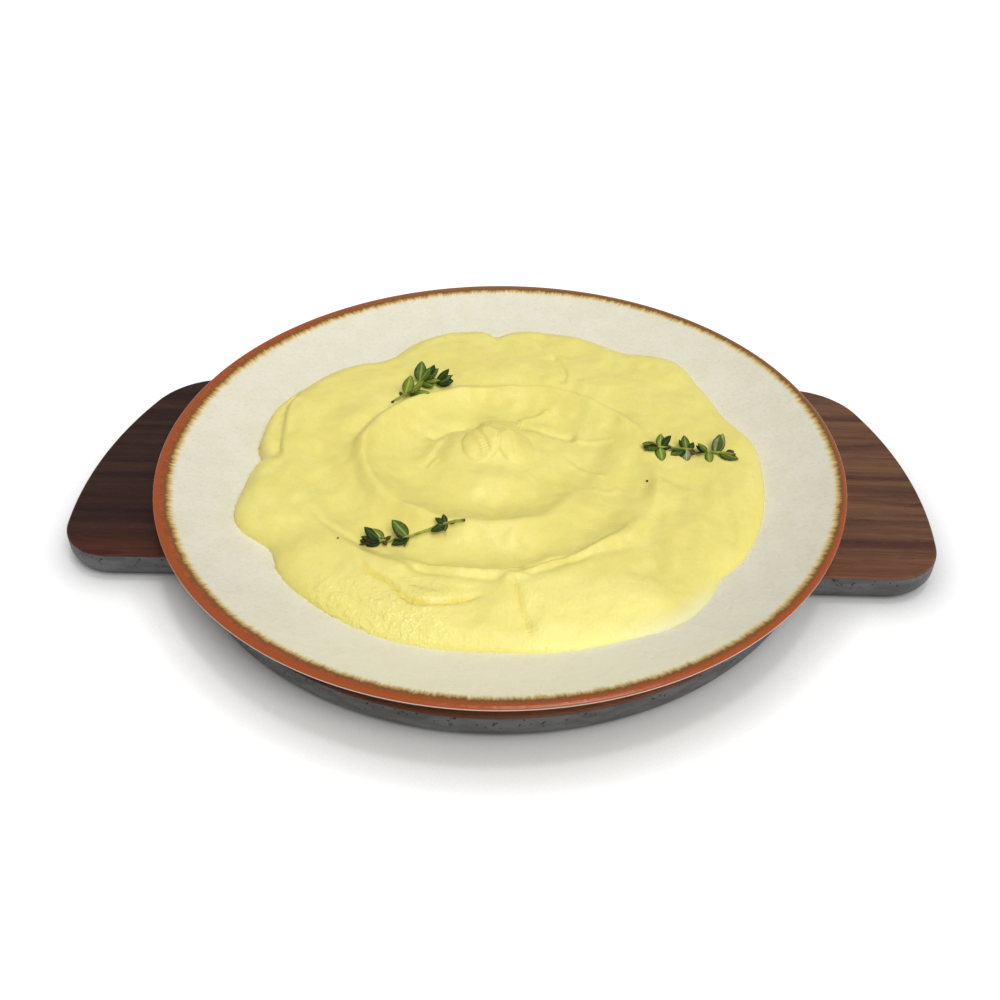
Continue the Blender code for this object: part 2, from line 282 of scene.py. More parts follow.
def fold_height(x, y, height, left, right, points):
    """A ridge, or a groove if height is under 0, along a line, with its own width on each side."""
    line = smooth_curve(points, 1.0)
    reach = 3 * max(left, right)
    low, high = line.min(axis=0) - reach, line.max(axis=0) + reach
    near = (x > low[0]) & (x < high[0]) & (y > low[1]) & (y < high[1])
    px, py = x[near][:, None], y[near][:, None]
    gap = (px - line[:, 0]) ** 2 + (py - line[:, 1]) ** 2
    i = gap.argmin(axis=1)
    tangent = np.gradient(line, axis=0)
    tangent /= np.hypot(*tangent.T)[:, None]
    off_x, off_y = px[:, 0] - line[i, 0], py[:, 0] - line[i, 1]
    side = tangent[i, 0] * off_y - tangent[i, 1] * off_x
    share = i / (len(line) - 1)
    fade = ease(share / 0.18) * ease((1 - share) / 0.18)
    far = np.sqrt(gap[np.arange(len(i)), i])
    profile = np.exp(-((far / np.where(side > 0, left, right)) ** 2))
    made = np.zeros_like(x)
    made[near] = height * fade * profile
    return made


def plate_surface(r):
    """Height of the plate's inner face at radius r."""
    past_well = np.clip((r - WELL_RADIUS) / (RIM_INNER_RADIUS - WELL_RADIUS), 0, None)
    return PLATE_FLOOR + RIM_RISE * past_well**2


def mash_edge(angle):
    """How far the potato reaches from the plate's axis in a direction."""
    a = np.radians(angle)
    x, y = MASH_CENTRE
    towards = x * np.cos(a) + y * np.sin(a)
    reach = towards + np.sqrt(towards**2 + MASH_RADIUS**2 - x * x - y * y)
    for centre, width, height in EDGE_LOBES:
        off = np.mod(angle - centre + 180, 360) - 180
        reach = reach + height * np.exp(-((off / width) ** 2))
    return reach


def mash_thickness(x, y):
    """The potato's thickness over the flat of the plate's well, and how deep in a fold it is."""
    r = np.hypot(x, y)
    angle = np.degrees(np.arctan2(y, x))
    inside = np.clip(mash_edge(angle) - r, 0, None)
    apron = around(APRON_HEIGHT, angle)
    roll = np.clip(inside / around(EDGE_ROLL, angle), 0, 1)
    top = apron * np.sqrt(1 - (1 - roll) ** 2)

    turned = np.mod(CREST_START - angle, 360)
    for winding in (turned, turned + 360):
        off = r - along(CREST_PATH, winding)
        width = np.where(off > 0, CREST_OUTER_WIDTH, CREST_INNER_WIDTH)
        exists = (winding <= CREST_PATH[-1][0]) & (inside > 0)
        top = top + exists * along(CREST_RISE, winding) * np.exp(-((off / width) ** 2))

    inner = INNER_TROUGH_HEIGHT + (r - around(INNER_TROUGH, angle)) ** 2 / (2 * TROUGH_RADIUS)
    top = soft_min(top, inner, 2.0)
    turned = np.mod(OUTER_TROUGH_START - angle, 360)
    off = r - along(OUTER_TROUGH, turned)
    outer = along(OUTER_TROUGH_HEIGHT, turned) + off**2 / (2 * TROUGH_RADIUS)
    top = np.where(turned <= OUTER_TROUGH[-1][0], soft_min(top, outer, 1.6), top)

    mound = MOUND_HEIGHT * np.exp(-((r / MOUND_RADIUS) ** 2) * 1.2)
    top = -soft_min(-top, -mound, 2.0)
    for cx, cy, radius, height in MOUND_CAPS:
        top = top + height * np.exp(-((x - cx) ** 2 + (y - cy) ** 2) / radius**2)
    for cx, cy, across, deep, out in PEAK_LUMPS:
        near = ((x - cx) / across) ** 2 + ((y - cy) / deep) ** 2
        top = top + out * np.sqrt(np.clip(1 - near**2, 0, 1))
    folds = np.zeros_like(x)
    hollow = np.zeros_like(x)
    for height, left, right, points in FOLDS:
        fold = fold_height(x, y, height, left, right, points)
        folds = folds + fold
        if left + right < 2.5:
            hollow = hollow - fold
    top = top + folds * ease(inside / 6)
    calm = ease(inside / 8)
    top = top + calm * (0.22 * ripple(x, y, 17, 3) + 0.07 * ripple(x, y, 6, 4))
    return top, np.clip(hollow, 0, 1.5)


def mash_top(x, y):
    thickness, hollow = mash_thickness(x, y)
    return PLATE_FLOOR + thickness + 0.55 * (plate_surface(np.hypot(x, y)) - PLATE_FLOOR), hollow


def mesh_piece(name, points, faces, finish, slot, *nodes, smooth_under=40):
    """A piece from points in millimetres, riding on the one body and standing for CAD nodes."""
    mesh = bpy.data.meshes.new(name)
    mesh.from_pydata((np.asarray(points, float) * MM).tolist(), [], faces)
    mesh.validate()
    mesh.shade_smooth()
    mesh.set_sharp_from_angle(angle=math.radians(smooth_under))
    mesh.materials.append(finish)
    piece = bpy.data.objects.new(name, mesh)
    bpy.context.scene.collection.objects.link(piece)
    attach(piece, "root")
    if nodes:
        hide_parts(*nodes)
    return piece


def stack_rings(rings, first_cap, last_cap):
    """Points and faces of a closed skin through rings of equally many points.

    A cap is a single point that closes that end as a fan, or None for one flat face.
    """
    count = len(rings[0])
    points = [tuple(p) for ring in rings for p in ring]
    faces = []
    for level in range(len(rings) - 1):
        low, high = level * count, (level + 1) * count
        for i in range(count):
            j = (i + 1) % count
            faces.append((low + i, low + j, high + j, high + i))
    for cap, start, outward in ((first_cap, 0, -1), (last_cap, (len(rings) - 1) * count, 1)):
        ring = list(range(start, start + count))[::outward]
        if cap is None:
            faces.append(tuple(ring))
            continue
        points.append(tuple(cap))
        centre = len(points) - 1
        faces += [(ring[i], ring[(i + 1) % count], centre) for i in range(count)]
    return points, faces


class Finish:
    """A Principled material, with short calls for the nodes that vary it."""

    def __init__(self, name, **settings):
        self.material = bpy.data.materials.new(name)
        self.material.use_nodes = True
        self.tree = self.material.node_tree
        self.shader = self.tree.nodes["Principled BSDF"]
        for key, value in settings.items():
            self.shader.inputs[key.replace("_", " ")].default_value = value
        self.place = self.scaled((1 / MM,) * 3)

    def node(self, kind, **inputs):
        made = self.tree.nodes.new(kind)
        for key, value in inputs.items():
            self.feed(made.inputs[key.replace("_", " ")], value)
        return made

    def feed(self, socket, value):
        if isinstance(value, bpy.types.NodeSocket):
            self.tree.links.new(value, socket)
        else:
            socket.default_value = value

    def scaled(self, by, vector=None):
        """The place in millimetres, or another vector, stretched along each axis."""
        if vector is None:
            vector = self.node("ShaderNodeTexCoord").outputs["Object"]
        made = self.node("ShaderNodeVectorMath", Vector=vector)
        made.operation = "MULTIPLY"
        made.inputs[1].default_value = by
        return made.outputs[0]

    def noise(self, size, detail=2.0, vector=None, roughness=0.5, distortion=0.0):
        vector = self.place if vector is None else vector
        made = self.node("ShaderNodeTexNoise", Vector=vector, Scale=1 / size, Detail=detail)
        made.inputs["Roughness"].default_value = roughness
        made.inputs["Distortion"].default_value = distortion
        return made.outputs["Fac"]

    def maths(self, operation, a, b=0.0, c=0.0):
        made = self.node("ShaderNodeMath")
        made.operation = operation
        for socket, value in zip(made.inputs, (a, b, c)):
            self.feed(socket, value)
        return made.outputs[0]

    def span(self, value, low, high, to_low=0.0, to_high=1.0):
        """A value's share of the way from low to high, eased, turned into another range."""
        made = self.node("ShaderNodeMapRange")
        made.interpolation_type = "SMOOTHSTEP"
        for socket, given in zip(made.inputs, (value, low, high, to_low, to_high)):
            self.feed(socket, given)
        return made.outputs[0]

    def mix(self, share, a, b, blend="MIX"):
        made = self.node("ShaderNodeMix")
        made.data_type = "RGBA"
        made.blend_type = blend
        for key, value in (("Factor_Float", share), ("A_Color", a), ("B_Color", b)):
            socket = next(s for s in made.inputs if s.identifier == key)
            self.feed(socket, value)
        return next(s for s in made.outputs if s.identifier == "Result_Color")

    def ramp(self, value, *stops):
        made = self.node("ShaderNodeValToRGB", Fac=value)
        points = made.color_ramp.elements
        while len(points) < len(stops):
            points.new(1.0)
        for point, (place, colour) in zip(points, stops):
            point.position = place
            point.color = colour
        return made.outputs["Color"]

    def attribute(self, name):
        made = self.node("ShaderNodeAttribute")
        made.attribute_name = name
        return made.outputs["Fac"]

    def split(self, vector=None):
        made = self.node("ShaderNodeSeparateXYZ", Vector=self.place if vector is None else vector)
        return made.outputs

    def set(self, name, value):
        self.feed(self.shader.inputs[name], value)

    def bump(self, height, depth, strength=1.0):
        """Fine relief of depth millimetres."""
        made = self.node("ShaderNodeBump", Height=height, Distance=depth * MM, Strength=strength)
        self.set("Normal", made.outputs["Normal"])


def colour(red, green, blue):
    """Linear colour of an sRGB one given in 0 to 255."""
    linear = []
    for value in (red, green, blue):
        value /= 255
        linear.append(value / 12.92 if value <= 0.04045 else ((value + 0.055) / 1.055) ** 2.4)
    return (*linear, 1.0)


def mash_finish():
    f = Finish("mashed potato", Subsurface_Weight=0.15, Subsurface_Scale=0.002, IOR=1.4)
    f.set("Subsurface Radius", (1.0, 0.8, 0.3))
    shade = f.mix(f.span(f.noise(22, 2), 0.3, 0.7), colour(236, 224, 130), colour(234, 220, 122))
    shade = f.mix(f.span(f.noise(5, 3), 0.48, 0.75, 0, 0.3), shade, colour(244, 235, 154))
    shade = f.mix(f.span(f.noise(1.2, 2), 0.5, 0.72, 0, 0.22), shade, colour(222, 206, 108))
    wet, grain = f.attribute("wet"), f.attribute("grain")
    # Painted light: the front lobes, where grain is high, are painted lighter, as slopes lit brightly
    # towards the camera.
    shade = f.mix(f.maths("MULTIPLY", grain, 0.75), shade, colour(250, 239, 146))
    # Painted shade: the deeper a point lies in a narrow fold, the darker and more golden it is coloured.
    shade = f.mix(f.span(f.attribute("hollow"), 0.15, 1.2, 0, 0.5), shade, colour(226, 200, 70))
    shade = f.mix(f.attribute("thin"), shade, colour(232, 226, 172))
    f.set("Base Color", shade)
    uneven = f.span(f.noise(4, 3), 0.3, 0.7, -0.06, 0.08)
    f.set("Roughness", f.maths("ADD", f.span(wet, 0, 1, 0.40, 0.18), uneven))
    slow = f.noise(4.5, 2)
    beads = f.span(f.noise(1.9, 2, None, 0.55), 0.42, 0.68)
    streaks = f.noise(1.0, 2, f.scaled((1.0, 0.4, 0.4), f.place))
    strokes = f.maths("MULTIPLY_ADD", grain, 0.25, f.maths("MULTIPLY", wet, 0.75))
    relief = f.maths("MULTIPLY_ADD", beads, strokes, slow)
    relief = f.maths("MULTIPLY_ADD", streaks, f.maths("MULTIPLY_ADD", grain, 0.7, 0.25), relief)
    f.bump(relief, 0.22)
    return f.material


def plate_finish():
    f = Finish("cream stoneware glaze", IOR=1.45)
    x, y, z = f.split()
    r = f.maths("SQRT", f.maths("ADD", f.maths("MULTIPLY", x, x), f.maths("MULTIPLY", y, y)))
    cos, sin = f.maths("DIVIDE", x, r), f.maths("DIVIDE", y, r)
    across = f.node("ShaderNodeCombineXYZ", X=cos, Y=sin, Z=f.maths("MULTIPLY", r, 0.0022)).outputs[0]
    streaks = f.noise(0.012, 3, across, 0.6)
    fine_streaks = f.noise(0.0055, 2, across, 0.6)
    # The brown glaze reaches further in at the left and the front.
    width = f.maths("MULTIPLY_ADD", cos, -1.0, 2.9)
    width = f.maths("MULTIPLY_ADD", sin, 0.1, width)
    wander = f.maths("ADD", f.maths("MULTIPLY", streaks, 2.4), f.maths("MULTIPLY", fine_streaks, 1.6))
    past = f.maths("SUBTRACT", f.maths("SUBTRACT", 110.0, r), width)
    past = f.maths("ADD", past, f.maths("SUBTRACT", wander, 2.0))
    cream = f.mix(f.span(f.noise(9, 3), 0.35, 0.65), colour(229, 225, 206), colour(226, 221, 199))
    cream = f.mix(f.span(f.noise(1.1, 1), 0.5, 0.75, 0, 0.28), cream, colour(204, 196, 172))
    # Painted light: the cream is painted paler towards the front of the plate, standing in for light
    # falling there.
    front = f.span(y, -60, -108)
    cream = f.mix(front, cream, colour(241, 235, 204))
    rust = f.mix(f.span(f.noise(3, 3), 0.35, 0.7), colour(170, 84, 34), colour(152, 70, 24))
    rust = f.mix(f.span(fine_streaks, 0.46, 0.62, 0, 0.6), rust, colour(112, 64, 26))
    rust = f.mix(f.span(r, 107.6, 108.6), rust, colour(158, 76, 32))
    back = f.span(f.maths("ADD", f.maths("MULTIPLY", cos, 0.5), f.maths("MULTIPLY", sin, 0.85)), 0.2, 0.9)
    rust = f.mix(back, rust, colour(138, 92, 50))
    fringe = f.ramp(
        f.maths("DIVIDE", past, 3.0),
        (0.0, colour(118, 80, 38)),
        (0.12, colour(158, 118, 62)),
        (0.34, colour(200, 168, 104)),
        (0.55, colour(222, 204, 156)),
        (0.90, colour(228, 221, 196)),
    )
    shade = f.mix(f.span(past, -1.2, 0.1), rust, fringe)
    shade = f.mix(f.span(past, 1.4, 2.8), shade, cream)
    low = f.maths("MULTIPLY", f.span(z, 21.2, 21.05), f.span(r, 107.0, 107.4))
    shade = f.mix(low, shade, colour(206, 186, 172))
    f.set("Base Color", shade)
    f.set("Roughness", f.span(f.noise(6, 3), 0.3, 0.7, 0.22, 0.34))
    f.bump(f.maths("ADD", f.noise(2.6, 2), f.maths("MULTIPLY", f.noise(14, 1), 2.0)), 0.14)
    return f.material


def board_finish():
    f = Finish("dark walnut", Specular_IOR_Level=0.16)
    x, y, z = f.split()
    bent = f.scaled((0.06, 1.0, 0.6), f.place)
    grain = f.noise(1.3, 5, bent, 0.7, 1.2)
    bands = f.noise(7, 3, f.scaled((0.04, 1.0, 1.0), f.place), 0.55, 0.6)
    flecks = f.noise(0.6, 2, f.scaled((0.22, 1.0, 1.0), f.place), 0.6)
    dark = f.mix(f.span(bands, 0.35, 0.65), colour(38, 21, 18), colour(62, 38, 28))
    pale = f.mix(f.span(bands, 0.3, 0.7), colour(78, 50, 42), colour(122, 86, 62))
    shade = f.mix(f.span(x, -60, 60), dark, pale)
    shade = f.mix(f.span(grain, 0.42, 0.72, 0, 0.45), shade, colour(48, 28, 25))
    fleck = f.maths("MULTIPLY", f.span(flecks, 0.58, 0.72), f.span(x, -60, 60, 0.08, 0.32))
    shade = f.mix(fleck, shade, colour(134, 92, 66))
    near = f.maths("MULTIPLY", f.span(y, -28, -45), f.span(grain, 0.35, 0.6, 0.1, 0.45))
    shade = f.mix(near, shade, colour(106, 56, 36))
    smudge = f.span(f.noise(5, 4, f.scaled((0.5, 0.5, 1.6), f.place), 0.6), 0.35, 0.68)
    side = f.mix(smudge, colour(100, 100, 100), colour(80, 79, 79))
    pits = f.noise(1.1, 2, f.scaled((1.0, 1.0, 0.8), f.place), 0.6)
    pitted = f.maths("MULTIPLY", f.span(pits, 0.6, 0.68), f.span(z, 4.5, 7.5, 0.1, 0.9))
    side = f.mix(pitted, side, colour(30, 26, 25))
    side = f.mix(f.span(z, 3.0, 0.6, 0, 0.6), side, colour(40, 38, 37))
    shade = f.mix(f.span(z, 9.6, 9.0), shade, side)
    f.set("Base Color", shade)
    f.set("Roughness", f.span(grain, 0.3, 0.7, 0.36, 0.5))
    f.bump(f.maths("ADD", grain, f.maths("MULTIPLY", flecks, 0.5)), 0.16)
    return f.material


def leaf_finish(name, face, rib):
    f = Finish(name, Specular_IOR_Level=0.2, Subsurface_Weight=0.05, Subsurface_Scale=0.001)
    dark = tuple(0.4 * c for c in face[:3]) + (1,)
    shade = f.mix(f.span(f.noise(1.6, 2), 0.3, 0.7), face, tuple(0.7 * c for c in face[:3]) + (1,))
    across = f.attribute("across")
    shade = f.mix(f.span(across, 0.6, 0.98), shade, dark)
    f.set("Base Color", f.mix(f.span(across, 0.24, 0.04), shade, rib))
    f.set("Roughness", f.span(f.noise(0.8, 2), 0.3, 0.7, 0.45, 0.65))
    f.bump(f.noise(0.5, 2), 0.08)
    return f.material


def make_mash():
    angles = np.arange(MASH_SEGMENTS) * 360 / MASH_SEGMENTS
    cos, sin = np.cos(np.radians(angles)), np.sin(np.radians(angles))
    edge = mash_edge(angles) + 0.25 * ripple(83 * cos, 83 * sin, 5, 9)
    shares = np.linspace(1, 0, MASH_RINGS + 1)[1:-1]
    shares = shares - 0.05 * np.sin(2 * math.pi * shares)
    shares = np.concatenate(([0.9985, 0.996], shares[shares < 0.994]))
    x = np.outer(shares, edge * cos)
    y = np.outer(shares, edge * sin)
    top, hollow = mash_top(x.ravel(), y.ravel())
    rings = list(np.stack([x, y, top.reshape(x.shape)], axis=-1))
    rim = np.stack([edge * cos, edge * sin, plate_surface(edge) - 0.1], axis=-1)
    inner = np.stack([60 * cos, 60 * sin, np.full_like(cos, PLATE_FLOOR - 0.1)], axis=-1)
    peak, _ = mash_top(np.zeros(1), np.zeros(1))
    points, faces = stack_rings([inner, rim, *rings], (0, 0, PLATE_FLOOR - 0.1), (0, 0, float(peak[0])))
    piece = mesh_piece("swirled_potato", points, faces, mash_finish(), "mash", "mash", smooth_under=80)
    x, y, z = np.array(points).T
    # How deep in a narrow fold each point lies; the finish turns it into painted shade.
    deep = np.zeros(len(points))
    deep[2 * MASH_SEGMENTS : 2 * MASH_SEGMENTS + len(hollow)] = hollow
    wet = np.exp(-(((x + 36) / 26) ** 4) - ((y + 74) / 13) ** 4)
    # grain marks the front lobes: it drives their fine relief, and the finish also paints them lighter as
    # painted light.
    grain = (0.45 + 0.55 * ease((x - 3) / 8)) * ease((-56 - y) / 5)
    grain = grain * ease((56 - x) / 16) * ease((x + 62) / 20)
    film = ease((x - 28) / 25) * ease((-52 - y) / 15)
    thin = film * ease((4.0 - (z - plate_surface(np.hypot(x, y)))) / 3.6)
    for name, values in (("hollow", deep), ("wet", wet), ("grain", grain), ("thin", thin)):
        made = piece.data.attributes.new(name, "FLOAT", "POINT")
        made.data.foreach_set("value", values.astype(np.float32))


def make_plate():
    low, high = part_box("plate")
    radius, foot = high.x / MM, low.z / MM
    inner_radii = (20, 45, WELL_RADIUS, *np.linspace(66, RIM_INNER_RADIUS, 16))
    inner = [(r, float(plate_surface(r))) for r in inner_radii]
    lip = [(107.2, 21.45), (107.9, 21.68), (108.6, 21.75), (109.2, 21.7), (109.7, 21.5), (radius, 21.15)]
    lip += [(radius, 20.75), (109.6, 20.4), (108.6, 20.2), (107.6, 19.9), (106.4, 19.0), (105.2, 17.8)]
    under = [(r, float(plate_surface(r)) - PLATE_WALL) for r in np.linspace(103.5, 66, 8)]
    base = PLATE_FLOOR - PLATE_WALL
    ring = [(62.5, base), (61.4, foot + 0.5), (60.6, foot), (55.4, foot)]
    ring += [(54.6, foot + 0.5), (53.5, base), (20, base)]
    turn = np.linspace(0, 2 * math.pi, PLATE_SEGMENTS, endpoint=False)
    rings = []
    for r, z in inner + lip + under + ring:
        rings.append(np.stack([r * np.cos(turn), r * np.sin(turn), np.full_like(turn, z)], axis=-1))
    points, faces = stack_rings(rings[::-1], (0, 0, base), (0, 0, PLATE_FLOOR))
    mesh_piece("glazed_plate", points, faces, plate_finish(), "plate", "plate", smooth_under=60)


def arc(x, y, radius, start, end, steps):
    """Points along an arc, from start to end in degrees, both ends included."""
    angles = np.radians(np.linspace(start, end, steps + 1))
    return [(x + radius * math.cos(a), y + radius * math.sin(a)) for a in angles]


def half_outline(inset, ear_radius, front_y):
    """The right half of the board's outline, from front to back: half a disc with an ear."""
    disc = BOARD_DISC - inset
    ear = ear_radius - inset
    fillet = EAR_FILLET + inset
    half = []
    for side, edge, corner in (
        (-1, front_y + inset, EAR_FRONT_CORNER - inset),
        (1, EAR_BACK_Y - inset, EAR_BACK_CORNER - inset),
    ):
        # A hollow fillet joins the disc to the ear's straight edge.
        fillet_y = edge + side * fillet
        fillet_x = math.sqrt((disc + fillet) ** 2 - fillet_y**2)
        meets_disc = math.degrees(math.atan2(fillet_y, fillet_x))
        # A round corner joins that edge to the ear's outer arc.
        corner_y = edge - side * corner
        corner_x = math.sqrt((ear - corner) ** 2 - (corner_y - EAR_ARC_CENTRE_Y) ** 2)
        meets_ear = math.degrees(math.atan2(corner_y - EAR_ARC_CENTRE_Y, corner_x))
        run = arc(0, 0, disc, side * 90, meets_disc, 40)[:-1]
        run += arc(fillet_x, fillet_y, fillet, meets_disc - side * 180, -side * 90, 10)
        run += arc(corner_x, corner_y, corner, side * 90, meets_ear, 20)
        if side < 0:
            half += run
            arc_start = meets_ear
        else:
            half += arc(0, EAR_ARC_CENTRE_Y, ear, arc_start, meets_ear, 28)[1:-1]
            half += reversed(run)
    return half


def board_outline(inset, ear_radius):
    """The board's outline, moved in by inset: a disc with an ear on each side."""
    right = half_outline(inset, ear_radius, RIGHT_EAR_FRONT_Y)
    left = half_outline(inset, ear_radius, LEFT_EAR_FRONT_Y)
    return right + [(-x, y) for x, y in reversed(left[1:-1])]


def make_board():
    _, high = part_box("board")
    ear_radius, thickness = high.x / MM - EAR_SHORTER, high.z / MM
    rings = []
    for a in np.radians(np.linspace(90, 0, 9)):
        inset = BOARD_FOOT_ROUND * (1 - math.cos(a))
        height = BOARD_FOOT_ROUND * (1 - math.sin(a))
        rings.append([(x, y, height) for x, y in board_outline(inset, ear_radius)])
    for a in np.radians(np.linspace(0, 90, 5)):
        inset = BOARD_TOP_ROUND * (1 - math.cos(a))
        height = thickness - BOARD_TOP_ROUND * (1 - math.sin(a))
        rings.append([(x, y, height) for x, y in board_outline(inset, ear_radius)])
    for height in (thickness, RECESS_FLOOR):
        ring = []
        for x, y, _ in rings[-1]:
            scale = RECESS_RADIUS / math.hypot(x, y)
            ring.append((x * scale, y * scale, height))
        rings.append(ring)
    points, faces = stack_rings(rings, None, None)
    mesh_piece("eared_board", points, faces, board_finish(), "board", "board", smooth_under=30)


# Thyme. A leaf is (share of the stem, direction, length, tilt, roll, tone); a stem is its
# points and how high each lies over the potato.
LEAF_WIDTH = 0.6
STEM_RADIUS = 0.42
TONES = {
    "dark": (colour(42, 62, 20), colour(76, 98, 34)),
    "mid": (colour(84, 108, 28), colour(134, 152, 54)),
    "light": (colour(122, 142, 46), colour(166, 178, 80)),
    "pale": (colour(134, 146, 96), colour(172, 178, 128)),
    "brown": (colour(84, 62, 30), colour(112, 88, 46)),
}
SPRIGS = {
    "thyme_back": (
        ((-37.5, 19.5), (-34.0, 25.0), (-31.5, 31.0), (-29.2, 36.5), (-26.0, 37.0), (-23.0, 36.5)),
        (
            (0.24, 120, 2.0, 25, 0, "dark"),
            (0.34, 74, 7.0, 42, 0, "light"),
            (0.40, 42, 7.2, 30, -15, "light"),
            (0.44, -30, 3.4, 0, 0, "mid"),
            (0.48, -6, 6.5, 8, 0, "light"),
            (0.72, 80, 7.6, 50, 25, "mid"),
            (0.74, 40, 6.5, 46, 0, "mid"),
            (0.80, 22, 6.6, 38, 10, "mid"),
            (0.84, 54, 6.0, 52, 0, "dark"),
            (0.80, -14, 6.0, 14, 0, "light"),
            (0.76, -34, 5.6, 2, 10, "mid"),
            (0.94, 32, 6.4, 42, 0, "dark"),
            (0.96, 8, 6.4, 28, 0, "mid"),
            (0.98, -8, 6.2, 12, 40, "dark"),
            (0.98, -24, 4.6, 10, 0, "dark"),
        ),
    ),
    "thyme_right": (
        ((51.5, 1.4), (59.0, 1.8), (68.0, 0.8), (76.5, -1.2)),
        (
            (0.00, 176, 5.2, 14, -15, "mid"),
            (0.00, 183, 5.0, 5, 75, "brown"),
            (0.02, 192, 5.2, 4, 15, "mid"),
            (0.03, 80, 4.7, 38, 10, "light"),
            (0.06, 38, 5.0, 32, 75, "dark"),
            (0.06, 2, 3.2, 8, 20, "dark"),
            (0.02, 220, 2.0, 2, 0, "brown"),
            (0.04, -84, 5.8, -10, 0, "light"),
            (0.34, 186, 4.8, 12, 15, "mid"),
            (0.35, 112, 3.4, 36, 30, "dark"),
            (0.38, 100, 4.8, 40, 0, "mid"),
            (0.34, 210, 5.2, -4, 0, "mid"),
            (0.36, -110, 3.6, -10, 20, "dark"),
            (0.38, -94, 5.2, -10, 0, "pale"),
            (0.42, -58, 2.8, -4, 30, "brown"),
            (0.42, 62, 3.2, 24, 0, "dark"),
            (0.60, 150, 3.6, 22, 0, "dark"),
            (0.66, 155, 4.4, 32, 0, "mid"),
            (0.72, 76, 6.4, 38, -25, "mid"),
            (0.74, 58, 7.0, 36, 25, "pale"),
            (0.60, 190, 3.4, 0, 30, "dark"),
            (0.66, -92, 4.8, -12, 20, "light"),
            (0.78, -24, 6.8, 2, 0, "mid"),
            (0.84, 8, 3.0, 8, 50, "brown"),
        ),
    ),
    "thyme_front": (
        ((-34.2, -45.8), (-25.7, -43.8), (-20.0, -41.8), (-14.8, -40.2), (-8.9, -39.5)),
        (
            (0.04, 152, 6.4, 32, 0, "dark"),
            (0.06, 146, 5.0, 30, -30, "light"),
            (0.03, 176, 6.0, 16, 10, "dark"),
            (0.02, 186, 6.2, 8, -10, "dark"),
            (0.04, 194, 6.6, 2, 70, "brown"),
            (0.05, 206, 4.6, 0, 0, "dark"),
            (0.06, 120, 2.4, 30, 0, "dark"),
            (0.08, 30, 2.6, 22, 0, "brown"),
            (0.06, -60, 2.2, 2, 0, "brown"),
            (0.33, 148, 7.0, 36, -15, "mid"),
            (0.31, 168, 2.8, 16, 0, "dark"),
            (0.34, 192, 4.8, 3, 20, "dark"),
            (0.35, 212, 5.6, -2, 0, "dark"),
            (0.36, -108, 4.0, -6, 55, "mid"),
            (0.76, 160, 3.6, 24, 0, "dark"),
            (0.76, 108, 3.0, 36, 0, "dark"),
            (0.75, 216, 5.2, -2, 0, "dark"),
            (0.76, -92, 3.0, -6, 40, "mid"),
            (0.80, 14, 2.2, 8, 0, "brown"),
        ),
    ),
}


SPECKS = (  # name, colour, x, y, radius
    ("dark_speck", colour(60, 48, 30), 47.0, -14.6, 0.45),
    ("brown_speck", colour(140, 92, 44), -46.0, -47.0, 0.4),
)


def resting_height(x, y, reach):
    """The height that clears the potato within reach of a point."""
    ring = np.radians(np.arange(0, 360, 30))
    xs = np.append(x + reach * np.cos(ring), x)
    ys = np.append(y + reach * np.sin(ring), y)
    return float(mash_top(xs, ys)[0].max())


def leaf_mesh(base, direction, length, tilt, roll):
    """One leaf's points, faces and places across it.

    It is an oval blade, grooved along its rib, with its edges rolled under.
    """
    rows, columns = 9, 7
    points, across = [], []
    for face in (1, -1):
        for i in range(rows):
            t = i / (rows - 1)
            half = 0.5 * LEAF_WIDTH * length * math.sin(math.pi * t**0.82) ** 0.8 + 0.06
            for j in range(columns):
                s = 2 * j / (columns - 1) - 1
                droop = -0.10 * length * t * t
                z = droop - 0.22 * half * s * s * abs(s) - 0.12 * half * math.exp(-((s / 0.3) ** 2))
                edge = math.sqrt(max(0.0, 1 - s * s))
                z += face * 0.13 * (0.3 + 0.7 * edge) * (0.4 + math.sin(math.pi * t))
                points.append(Vector((t * length, s * half, z)))
                across.append(abs(s))
    faces = []
    for face in (0, 1):
        start = face * rows * columns
        for i in range(rows - 1):
            for j in range(columns - 1):
                a = start + i * columns + j
                quad = (a, a + columns, a + columns + 1, a + 1)
                faces.append(quad if face == 0 else quad[::-1])
    border = [i * columns for i in range(rows)] + [(rows - 1) * columns + j for j in range(1, columns)]
    border += [i * columns + columns - 1 for i in range(rows - 2, -1, -1)]
    border += [j for j in range(columns - 2, 0, -1)]
    size = rows * columns
    for k, a in enumerate(border):
        b = border[(k + 1) % len(border)]
        faces.append((b, a, a + size, b + size))
    turn = Matrix.Rotation(math.radians(direction), 4, "Z")
    turn = turn @ Matrix.Rotation(-math.radians(tilt), 4, "Y") @ Matrix.Rotation(math.radians(roll), 4, "X")
    place = Matrix.Translation(base) @ turn
    return [place @ p for p in points], faces, across


def stem_mesh(centres):
    """Points and faces of a thin tube whose radius wavers a little along it."""
    rings = []
    for i, centre in enumerate(centres):
        ahead = centres[min(i + 1, len(centres) - 1)] - centres[max(i - 1, 0)]
        side = ahead.cross(Vector((0, 0, 1))).normalized()
        up = side.cross(ahead).normalized()
        radius = STEM_RADIUS * (1 + 0.12 * math.sin(2.3 * i))
        turn = np.radians(np.arange(0, 360, 45))
        rings.append([centre + radius * (math.cos(a) * side + math.sin(a) * up) for a in turn])
    return stack_rings([[tuple(p) for p in ring] for ring in rings][::-1], None, None)


def stem_finish():
    f = Finish("thyme stem", Roughness=0.5)
    tip = f.attribute("tip")
    shade = f.mix(f.span(f.noise(2.5, 2), 0.35, 0.65), colour(160, 168, 44), colour(124, 130, 40))
    f.set("Base Color", f.mix(f.span(tip, 0.2, 0.9), shade, colour(62, 36, 26)))
    f.bump(f.noise(0.7, 2), 0.06)
    return f.material


